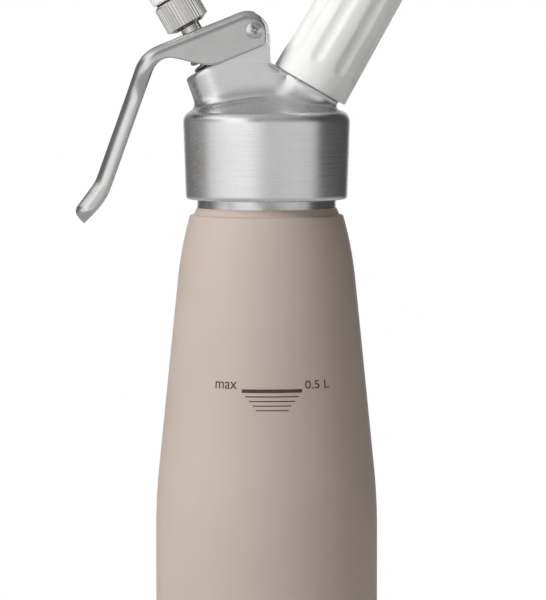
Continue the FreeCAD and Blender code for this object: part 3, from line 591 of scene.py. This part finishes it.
def pointsOf(mesh, place):
    # Vertices in millimetres, in a tilted frame
    points = np.empty(len(mesh.vertices) * 3)
    mesh.vertices.foreach_get("co", points)
    turn = np.array(place.inverted())
    return (points.reshape(-1, 3) @ turn[:3, :3].T + turn[:3, 3]) / mm


def movePoints(mesh, points, place):
    turn = np.array(place)
    mesh.vertices.foreach_set("co", (points * mm @ turn[:3, :3].T + turn[:3, 3]).ravel())
    mesh.update()


def ease(value, start, end):
    # 0 up to the start, 1 from the end on, and a soft rise between them
    share = np.clip((value - start) / (end - start), 0, 1)
    return share * share * (3 - 2 * share)


def recast(nodeName, voxel):
    # The node's own shape as an even mesh, ready to be smoothed like a casting or a moulding
    remesh = {"mode": "VOXEL", "voxel_size": voxel * mm}
    mesh = evaluated(nodes[nodeName].data.copy(), "REMESH", remesh)
    mesh.polygons.foreach_set("use_smooth", [True] * len(mesh.polygons))
    return mesh


# Bottle: drawn aluminium, lacquered up to the bare threaded neck. The taper is in degrees, and the blends
# are the radii of the arcs below and above it.
bottle = {
    "radius": 40.0, "wall": 1.2, "footInner": 26.0, "footOuter": 33.0, "corner": 6.5, "dome": 6.0,
    "bodyTop": 68.0, "taper": 5.77, "taperBlend": 219.0, "taperTop": 158.0,
    "shoulderBlend": 135.0, "shoulderTop": 181.2, "shoulderEdge": 0.35,
    "bandRadius": 26.2, "bandBottom": 181.6, "bandEdge": 0.3, "lacquer": 0.08, "lacquerEdge": 0.05,
    "neckRadius": 25.0, "neckBottom": 184.0, "neckTop": 208.0, "mouth": 23.0, "mouthEdge": 0.5,
    "collarTop": 189.0, "rootStart": 190.0, "rootEdge": 0.3,
    "segments": 192, "baseSteps": 16, "bendSteps": 12, "lowSteps": 16, "highSteps": 24,
}
neckThread = {
    "root": 24.2, "crest": 25.0, "sunk": 0.1, "pitch": 3.5, "bottom": 191.0, "top": 205.5,
    "segments": 96, "runOut": 0.2,
}


def arcPoints(centre, radius, start, end, steps):
    angles = [math.radians(start + (end - start) * step / steps) for step in range(steps + 1)]
    return [
        (centre[0] + radius * math.cos(angle), centre[1] + radius * math.sin(angle))
        for angle in angles
    ]


def bendPoints(start, corner, end, steps):
    # A quadratic curve that leaves the start and reaches the end along the corner's two sides
    path = []
    for step in range(steps + 1):
        share = step / steps
        weights = ((1 - share) ** 2, 2 * share * (1 - share), share ** 2)
        path.append(tuple(
            sum(weight * point[axis] for weight, point in zip(weights, (start, corner, end)))
            for axis in (0, 1)
        ))
    return path


def bottleBase(inset):
    # The dome under the bottle and the bend round the foot
    footInner = bottle["footInner"] - inset
    domeRadius = (footInner ** 2 + bottle["dome"] ** 2) / (2 * bottle["dome"])
    domeCentre = (0, inset + bottle["dome"] - domeRadius)
    domeEdge = 90 - math.degrees(math.asin(footInner / domeRadius))
    dome = arcPoints(domeCentre, domeRadius, 90, domeEdge, bottle["baseSteps"])
    side = bottle["radius"] - inset
    corners = ((bottle["footOuter"], inset), (side, inset), (side, bottle["corner"]))
    return dome + bendPoints(*corners, bottle["bendSteps"])


def bottleSide(inset):
    # A wide arc from the straight body into the taper, and a closer one from there to the shoulder's top
    taper = math.radians(bottle["taper"])
    lowCentre = (bottle["radius"] - bottle["taperBlend"], bottle["bodyTop"])
    lowRadius = bottle["taperBlend"] - inset
    low = arcPoints(lowCentre, lowRadius, 0, bottle["taper"], bottle["lowSteps"])
    highRadius = bottle["shoulderBlend"] - inset
    highStart = low[-1][0] - (bottle["taperTop"] - low[-1][1]) * math.tan(taper)
    highCentre = (
        highStart - highRadius * math.cos(taper),
        bottle["taperTop"] - highRadius * math.sin(taper),
    )
    end = math.degrees(math.asin((bottle["shoulderTop"] - inset - highCentre[1]) / highRadius))
    return low + arcPoints(highCentre, highRadius, bottle["taper"], end, bottle["highSteps"])


def buildBottle():
    outside = bottleBase(0) + bottleSide(0)
    inside = bottleBase(bottle["wall"]) + bottleSide(bottle["wall"])
    band = roundedProfile([
        outside[-2], (*outside[-1], bottle["shoulderEdge"]),
        (bottle["bandRadius"], bottle["bandBottom"], bottle["bandEdge"]),
        (bottle["neckRadius"] + bottle["lacquer"], bottle["neckBottom"], bottle["lacquerEdge"]),
        (bottle["mouth"], bottle["neckBottom"]),
    ])[1:]
    profile = outside[:-1] + band + [(bottle["mouth"], inside[-1][1])] + inside[::-1]
    mesh = meshOf(lathe(profile, bottle["segments"], closed=False), "bottleBody")
    newPiece("bottleBody", mesh, "bottle", "lacquerSprayed", ("bottle",))
    neck = roundedProfile([
        (bottle["mouth"], bottle["neckBottom"]), (bottle["neckRadius"], bottle["neckBottom"]),
        (bottle["neckRadius"], bottle["collarTop"], bottle["rootEdge"]),
        (neckThread["root"], bottle["rootStart"], bottle["rootEdge"]),
        (neckThread["root"], bottle["neckTop"], bottle["mouthEdge"]),
        (bottle["mouth"], bottle["neckTop"], bottle["mouthEdge"]),
        (bottle["mouth"], bottle["neckBottom"]),
    ])[:-1]
    shape = lathe(neck, bottle["segments"])
    addThread(shape, neckThread)
    mesh = meshOf(shape, "bottleNeck")
    # The neck's finish carries painted shade in its colour, for the shadow of the head's skirt
    newPiece("bottleNeck", mesh, "bottle", "aluminiumTurnedShaded", ("bottle",))


buildBottle()

# Fill mark: a bar and thinning lines, printed round the front, with its words on both sides
fillMark = {
    "centre": 3.2,  # degrees round from the front, right is positive
    "lines": [  # height, thickness, half width in degrees
        (120.72, 1.26, 17.3), (118.75, 0.40, 15.2), (117.12, 0.38, 13.05),
        (115.52, 0.36, 10.95), (113.93, 0.34, 9.2),
    ],
    "words": {  # left edge and right edge in degrees, baseline and height
        "max": (-30.4, -17.0, 121.4, 2.5),
        "0.5 L": (22.5, 38.4, 121.4, 2.9),
    },
    "bold": 0.004, "curveSteps": 6, "weld": 1e-5,
    "proud": 0.04, "sunk": 0.05, "step": 0.6,
}
sideRadii, sideHeights = zip(*bottleSide(0))


def sideRadius(height):
    return float(np.interp(height, sideHeights, sideRadii))


def wrapInk(shape):
    # Flat print, x round the bottle and y up in mm, z 0 or 1, is laid on the bottle's side
    shape.verts.ensure_lookup_table()
    middle = sideRadius(fillMark["lines"][0][0])
    columns = [vert.co.x for vert in shape.verts]
    start, end = min(columns), max(columns)
    cut = start + fillMark["step"]
    while cut < end:
        plane = {"plane_co": (cut, 0, 0), "plane_no": (1, 0, 0), "dist": fillMark["weld"]}
        bmesh.ops.bisect_plane(shape, geom=shape.verts[:] + shape.edges[:] + shape.faces[:], **plane)
        cut += fillMark["step"]
    for vert in shape.verts:
        angle = vert.co.x / middle
        depth = fillMark["proud"] if vert.co.z > 0.5 else -fillMark["sunk"]
        radius = sideRadius(vert.co.y) + depth
        vert.co = Vector((radius * math.sin(angle), -radius * math.cos(angle), vert.co.y)) * mm
    bmesh.ops.recalc_face_normals(shape, faces=shape.faces)
    return shape


def buildFillMark():
    arc = math.radians(1) * sideRadius(fillMark["lines"][0][0])
    shape = bmesh.new()
    for height, thickness, halfAngle in fillMark["lines"]:
        bar = bmesh.ops.create_cube(shape, size=1)["verts"]
        for vert in bar:
            vert.co = Vector((
                (fillMark["centre"] + 2 * vert.co.x * halfAngle) * arc,
                height + vert.co.y * thickness, vert.co.z + 0.5,
            ))
    newPiece("fillMarkLines", meshOf(wrapInk(shape), "fillMarkLines"), "bottle", "inkPrinted")
    for number, (words, (left, right, baseline, tall)) in enumerate(fillMark["words"].items()):
        curve = bpy.data.curves.new("words", "FONT")
        curve.body = words
        curve.resolution_u = fillMark["curveSteps"]
        curve.extrude = 0.5  # each way, so that z is 0 or 1 once it is lifted
        curve.offset = fillMark["bold"]
        text = bpy.data.objects.new("words", curve)
        bpy.context.scene.collection.objects.link(text)
        graph = bpy.context.evaluated_depsgraph_get()
        graph.update()
        flat = bpy.data.meshes.new_from_object(text.evaluated_get(graph))
        bpy.data.objects.remove(text)
        shape = bmesh.new()
        shape.from_mesh(flat)
        bmesh.ops.remove_doubles(shape, verts=shape.verts, dist=fillMark["weld"])
        low = min(vert.co.x for vert in shape.verts)
        wide = max(vert.co.x for vert in shape.verts) - low
        high = max(vert.co.y for vert in shape.verts)
        for vert in shape.verts:
            across = left + (right - left) * (vert.co.x - low) / wide
            vert.co = Vector((across * arc, baseline + vert.co.y * tall / high, vert.co.z + 0.5))
        pieceName = "fillMarkWord%d" % (number + 1)
        newPiece(pieceName, meshOf(wrapInk(shape), pieceName), "bottle", "inkPrinted")


buildFillMark()
print("bottle built")

# Head casting: one aluminium casting with full fillets where the tower, web and inlet rise from the dome
casting = {
    # The dome stands domeTop over the table at domeEdge from the axis and rises from there inwards
    "voxel": 0.36, "domeTop": 218.9, "domeSlope": 0.32, "domeEdge": 26.2,
    # Rounds of relax: all over, the fillets on the dome, the inlet boss, all that stands on the dome, and
    # all over again
    "evenRounds": 6, "fillRounds": 165, "bossRounds": 90, "earRounds": 14, "finishRounds": 5,
    # Start and end of the fades, first those that count up from the dome
    "fillStart": (-1.5, 0.2), "fillEnd": (7.5, 11.5), "bossFoot": (0.0, 2.0), "earFoot": (4.0, 6.0),
    # Up from the table, out from the bottle's axis, out from the valve's axis, and to the right
    "roofFade": (214.5, 216.0), "edgeFade": (25.2, 28.7), "towerFade": (8.8, 9.4), "bossSide": (2.0, 6.0),
    # Along the charger's line: the inlet, the seam with the holder, and the face that is flat there
    "inletFade": (27.0, 29.0), "seamFade": (28.6, 29.6), "faceStart": 30.35, "face": 30.88,
    "faceDepth": 0.2, "bossReach": 15.6,
    # The skirt's lower and upper edge as radius and height, and the part of its side that is turned
    "skirt": ((29.05, 187.0), (30.2, 219.1)), "turnedStart": (187.8, 188.8), "turnedEnd": (213.0, 215.0),
    "turnedReach": 0.5,
}


def turnSkirt(mesh):
    # The skirt is turned after casting: its side is brought to a true cone between its two edges
    points = pointsOf(mesh, Matrix())
    reach = np.hypot(points[:, 0], points[:, 1])
    (lowRadius, low), (highRadius, high) = casting["skirt"]
    true = lowRadius + (highRadius - lowRadius) * (points[:, 2] - low) / (high - low)
    share = ease(points[:, 2], *casting["turnedStart"]) * (1 - ease(points[:, 2], *casting["turnedEnd"]))
    share *= np.abs(reach - true) < casting["turnedReach"]
    points[:, :2] *= (1 + share * (true / reach - 1))[:, None]
    movePoints(mesh, points, Matrix())


def closeSeam(mesh, start, face, side):
    # Flattens a rim on the charger line, so that the joint between casting and holder stays fine
    points = pointsOf(mesh, chargerFrame)
    rim = (points[:, 2] - start) * side > 0
    rim &= (points[:, 2] - face) * side < casting["faceDepth"]
    rim &= np.hypot(points[:, 0], points[:, 1]) < casting["bossReach"]
    points[rim, 2] = face
    movePoints(mesh, points, chargerFrame)


def buildCasting():
    mesh = recast("head_casting", casting["voxel"])
    byCharger = pointsOf(mesh, chargerFrame)
    onBoss = np.hypot(byCharger[:, 0], byCharger[:, 1]) < casting["bossReach"]
    crisp = 1 - ease(byCharger[:, 2], *casting["seamFade"]) * onBoss
    relax(mesh, casting["evenRounds"], pullFor(crisp))
    points = pointsOf(mesh, Matrix())
    reach = np.hypot(points[:, 0], points[:, 1])
    above = points[:, 2] - casting["domeTop"] - casting["domeSlope"] * (casting["domeEdge"] - reach)
    byValve = pointsOf(mesh, valveFrame)
    byCharger = pointsOf(mesh, chargerFrame)
    fillet = ease(above, *casting["fillStart"]) * (1 - ease(above, *casting["fillEnd"]))
    fillet *= ease(points[:, 2], *casting["roofFade"]) * (1 - ease(reach, *casting["edgeFade"]))
    fillet *= ease(np.hypot(byValve[:, 0], byValve[:, 1]), *casting["towerFade"])
    fillet *= 1 - ease(byCharger[:, 2], *casting["inletFade"])
    boss = ease(points[:, 0], *casting["bossSide"]) * ease(above, *casting["bossFoot"]) * crisp
    relax(mesh, casting["fillRounds"], fillet, 1)
    relax(mesh, casting["bossRounds"], pulls["even"] * boss)
    relax(mesh, casting["earRounds"], pulls["even"] * ease(above, *casting["earFoot"]) * crisp)
    relax(mesh, casting["finishRounds"], pulls["finish"] * crisp)
    closeSeam(mesh, casting["faceStart"], casting["face"], 1)
    turnSkirt(mesh)
    newPiece("headCasting", mesh, "head", "aluminiumLinished", ("head_casting",))


buildCasting()
print("head casting built")

# Squeeze lever: tumbled casting. The handle's back is worn to a fuller round than the bridge.
lever = {
    "voxel": 0.30, "evenRounds": 5, "rimRounds": 26, "finishRounds": 3,
    # The bridge's slope in degrees, the knee along and over it from the pivot, and the handle's tilt
    "slope": 22.0, "knee": (-40.65, 7.95), "handleTilt": 70.3,
    # Fades of the wear, down from the knee and in from the handle's back
    "wornFade": (-2.0, 6.0), "rimFade": (3.0, 4.0), "wornRadius": 5.0, "slice": 0.8,
}


def roundBack(mesh, place):
    # Brings the long edges of the handle's back to a larger radius, always inwards
    points = pointsOf(mesh, place)
    along, depth, side = points[:, 0], points[:, 2], np.abs(points[:, 1])
    slices = np.floor((along - along.min()) / lever["slice"]).astype(int)
    back, width = np.full(slices.max() + 1, np.inf), np.zeros(slices.max() + 1)
    np.minimum.at(back, slices, depth)
    np.maximum.at(width, slices, side)
    middles = along.min() + (np.arange(len(back)) + 0.5) * lever["slice"]
    radius = lever["wornRadius"]
    inDepth = radius - (depth - np.interp(along, middles, back))
    inSide = radius - (np.interp(along, middles, width) - side)
    reach = np.hypot(inDepth, inSide)
    outside = (inDepth > 0) & (inSide > 0) & (reach > radius)
    share = np.where(outside, (1 - radius / np.maximum(reach, radius)), 0)
    share *= ease(along, *lever["wornFade"])
    points[:, 2] += share * inDepth
    points[:, 1] -= share * inSide * np.sign(points[:, 1])
    movePoints(mesh, points, place)


def buildLever():
    mesh = recast("lever", lever["voxel"])
    relax(mesh, lever["evenRounds"], pulls["even"])
    slope, tilt = math.radians(lever["slope"]), math.radians(lever["handleTilt"])
    bridge = Matrix.Translation(pivotPoint) @ Matrix.Rotation(-slope, 4, "Y")
    knee = bridge @ (Vector((lever["knee"][0], 0, lever["knee"][1])) * mm)
    down = Vector((-math.cos(tilt), 0, -math.sin(tilt)))
    handle = Matrix((down, (0, -1, 0), (math.sin(tilt), 0, -math.cos(tilt)))).transposed().to_4x4()
    handle = Matrix.Translation(knee) @ handle
    points = pointsOf(mesh, handle)
    onRim = ease(points[:, 0], *lever["wornFade"]) * ease(points[:, 2], *lever["rimFade"])
    relax(mesh, lever["rimRounds"], pulls["even"] * onRim, -1)
    roundBack(mesh, handle)
    relax(mesh, lever["finishRounds"], pulls["finish"])
    newPiece("squeezeLever", mesh, "lever", "aluminiumTumbled", ("lever",))


buildLever()
print("lever built")

# Charger holder: moulded grip with soft-edged flutes
holder = {"voxel": 0.36, "evenRounds": 10, "mouth": 31.0, "rim": 31.3, "mouthFade": (0.8, 2.0)}


def buildHolder():
    mesh = recast("charger_holder", holder["voxel"])
    fromMouth = pointsOf(mesh, chargerFrame)[:, 2] - holder["mouth"]
    relax(mesh, holder["evenRounds"], pullFor(ease(fromMouth, *holder["mouthFade"])))
    closeSeam(mesh, holder["rim"], holder["mouth"], -1)
    newPiece(
        "chargerHolder", mesh, "charger_holder", "polypropyleneMoulded",
        ("charger_holder",),
    )


buildHolder()
print("charger holder built")

# Threads that show when the holder or the nozzle is off
threads = {
    "inletThread": {
        "root": 10.2, "crest": 10.42, "sunk": 0.1, "pitch": 1.5, "bottom": 32.6, "top": 41.6,
        "segments": 72, "runOut": 0.2, "place": chargerFrame, "body": "head",
        "slot": "cast_aluminium", "material": "stainlessTurned",
    },
    "studThread": {
        "root": 5.2, "crest": 5.42, "sunk": 0.1, "pitch": 1.25, "bottom": 68.6, "top": 75.0,
        "segments": 60, "runOut": 0.2, "place": valveFrame, "body": "valve_stem",
        "slot": "bright_steel", "material": "nickelPlated",
    },
}
for threadName, thread in threads.items():
    threadShape = bmesh.new()
    addThread(threadShape, thread, thread["place"])
    threadMesh = meshOf(threadShape, threadName)
    newPiece(threadName, threadMesh, thread["body"], thread["material"])
print("threads built")

# Pivot screw: low domed head with a cross recess, and a fine thread that the sleeve takes. Heights run from
# the pivot's middle to the front. The thread is wound from the head to the tip, so its own are negative.
screw = {
    "headRadius": 3.0, "headHeight": 1.2, "domeRise": 0.72, "domeSteps": 16, "edge": 0.18,
    "under": 13.3, "shankRadius": 1.25, "shankLength": 12.0, "segments": 72,
    "thread": {
        "root": 1.25, "crest": 1.44, "sunk": 0.05, "pitch": 0.5, "bottom": -11.2, "top": -1.0,
        "segments": 24, "runOut": 0.2,
    },
    # The cross at its mouth and at its point: height over the head, length and width of its arms
    "recess": ((0.3, 3.7, 1.05), (-1.7, 0.8, 0.3)),
    "recessTurn": 18,  # degrees
}


def crossCutter(place, top):
    cutter = bmesh.new()
    rings = []
    for height, long, wide in screw["recess"]:
        arm, half = long / 2, wide / 2
        ring = []
        for turn in range(4):
            turned = Matrix.Rotation(math.radians(90 * turn + screw["recessTurn"]), 4, "Z")
            for across, aside in ((arm, -half), (arm, half), (half, half)):
                corner = turned @ Vector((across, aside, top + height)) * mm
                ring.append(cutter.verts.new(place @ corner))
        rings.append(ring)
    joinRings(cutter, rings, capped=True)
    piece = bpy.data.objects.new("cutter", meshOf(cutter, "cutter"))
    bpy.context.scene.collection.objects.link(piece)
    return piece


def buildScrew():
    place = Matrix.Translation(pivotPoint) @ Matrix.Rotation(math.radians(90), 4, "X")
    top = screw["under"] + screw["headHeight"]
    foot = screw["under"] - screw["shankLength"]
    domeRadius = (screw["headRadius"] ** 2 + screw["domeRise"] ** 2) / (2 * screw["domeRise"])
    edgeAngle = 90 - math.degrees(math.asin(screw["headRadius"] / domeRadius))
    dome = arcPoints((0, top - domeRadius), domeRadius, 90, edgeAngle, screw["domeSteps"])
    profile = dome[:-1] + roundedProfile([
        dome[-2], (*dome[-1], screw["edge"]), (screw["headRadius"], screw["under"]),
        (screw["shankRadius"], screw["under"]), (screw["shankRadius"], foot), (0, foot),
    ])[1:]
    head = meshOf(lathe(profile, screw["segments"], place, closed=False), "pivotScrew")
    cutter = crossCutter(place, top)
    cut = {"operation": "DIFFERENCE", "solver": "EXACT", "object": cutter}
    head = evaluated(head, "BOOLEAN", cut)
    bpy.data.objects.remove(cutter)
    whole = bmesh.new()
    whole.from_mesh(head)
    addThread(whole, screw["thread"], place @ Matrix.Rotation(math.radians(180), 4, "X"))
    mesh = meshOf(whole, "pivotScrewFinished", 30)
    newPiece("pivotScrew", mesh, "head", "zincPlated", ("pivot_screw",))


buildScrew()
print("screw built")

# Return spring: oiled wire between the tower and the push collar
spring = {
    "bottom": 37.8, "top": 47.6, "wire": 1.6, "radius": 5.8, "coils": 2.75, "travel": 3.41,
    "steps": 48, "sides": 16,
}


def buildSpring():
    shape = bmesh.new()
    half = spring["wire"] / 2
    low, high = spring["bottom"] + half, spring["top"] - half
    count = int(spring["coils"] * spring["steps"])
    rings = []
    for step in range(count + 1):
        turn = step / spring["steps"]
        angle = 2 * math.pi * turn
        height = low + (high - low) * turn / spring["coils"]
        ring = []
        for side in range(spring["sides"]):
            lean = 2 * math.pi * side / spring["sides"]
            radius = spring["radius"] + half * math.cos(lean)
            lift = min(max(height + half * math.sin(lean), spring["bottom"]), spring["top"])
            point = Vector((radius * math.cos(angle), radius * math.sin(angle), lift)) * mm
            ring.append(shape.verts.new(valveFrame @ point))
        rings.append(ring)
    joinRings(shape, rings, capped=True)
    mesh = meshOf(shape, "returnSpring", 50)
    # The spring's finish is darkened as painted shade
    piece = newPiece("returnSpring", mesh, "head", "steelWireShadeDarkened", ("return_spring",))
    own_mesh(piece)


buildSpring()
print("spring built")

# The other pieces keep the shape of the model and take their finish here
finishes = {
    "head_gasket": "siliconeMoulded", "pivot_sleeve": "zincPlated", "guide_bush": "acetalTurned",
    "stem_o_ring": "nitrileMoulded", "valve_stem": "stainlessTurned", "poppet_gasket": "nitrileMoulded",
    "poppet_plug": "stainlessTurned", "push_collar": "stainlessTurned", "retaining_clip": "steelWireShadeDarkened",
    "nozzle_adapter": "nickelPlated", "adapter_seal": "nitrileMoulded", "nozzle": "copolymerMoulded",
    "piercing_body": "brassTurned", "piercing_needle": "stainlessTurned", "check_valve": "nitrileMoulded",
    "charger_seal": "nitrileMoulded", "gas_charger": "steelDrawn", "holder_insert": "stainlessTurned",
}
for nodeName, finishName in finishes.items():
    nodes[nodeName].data.materials.clear()
    nodes[nodeName].data.materials.append(materials[finishName])

print("pieces finished")
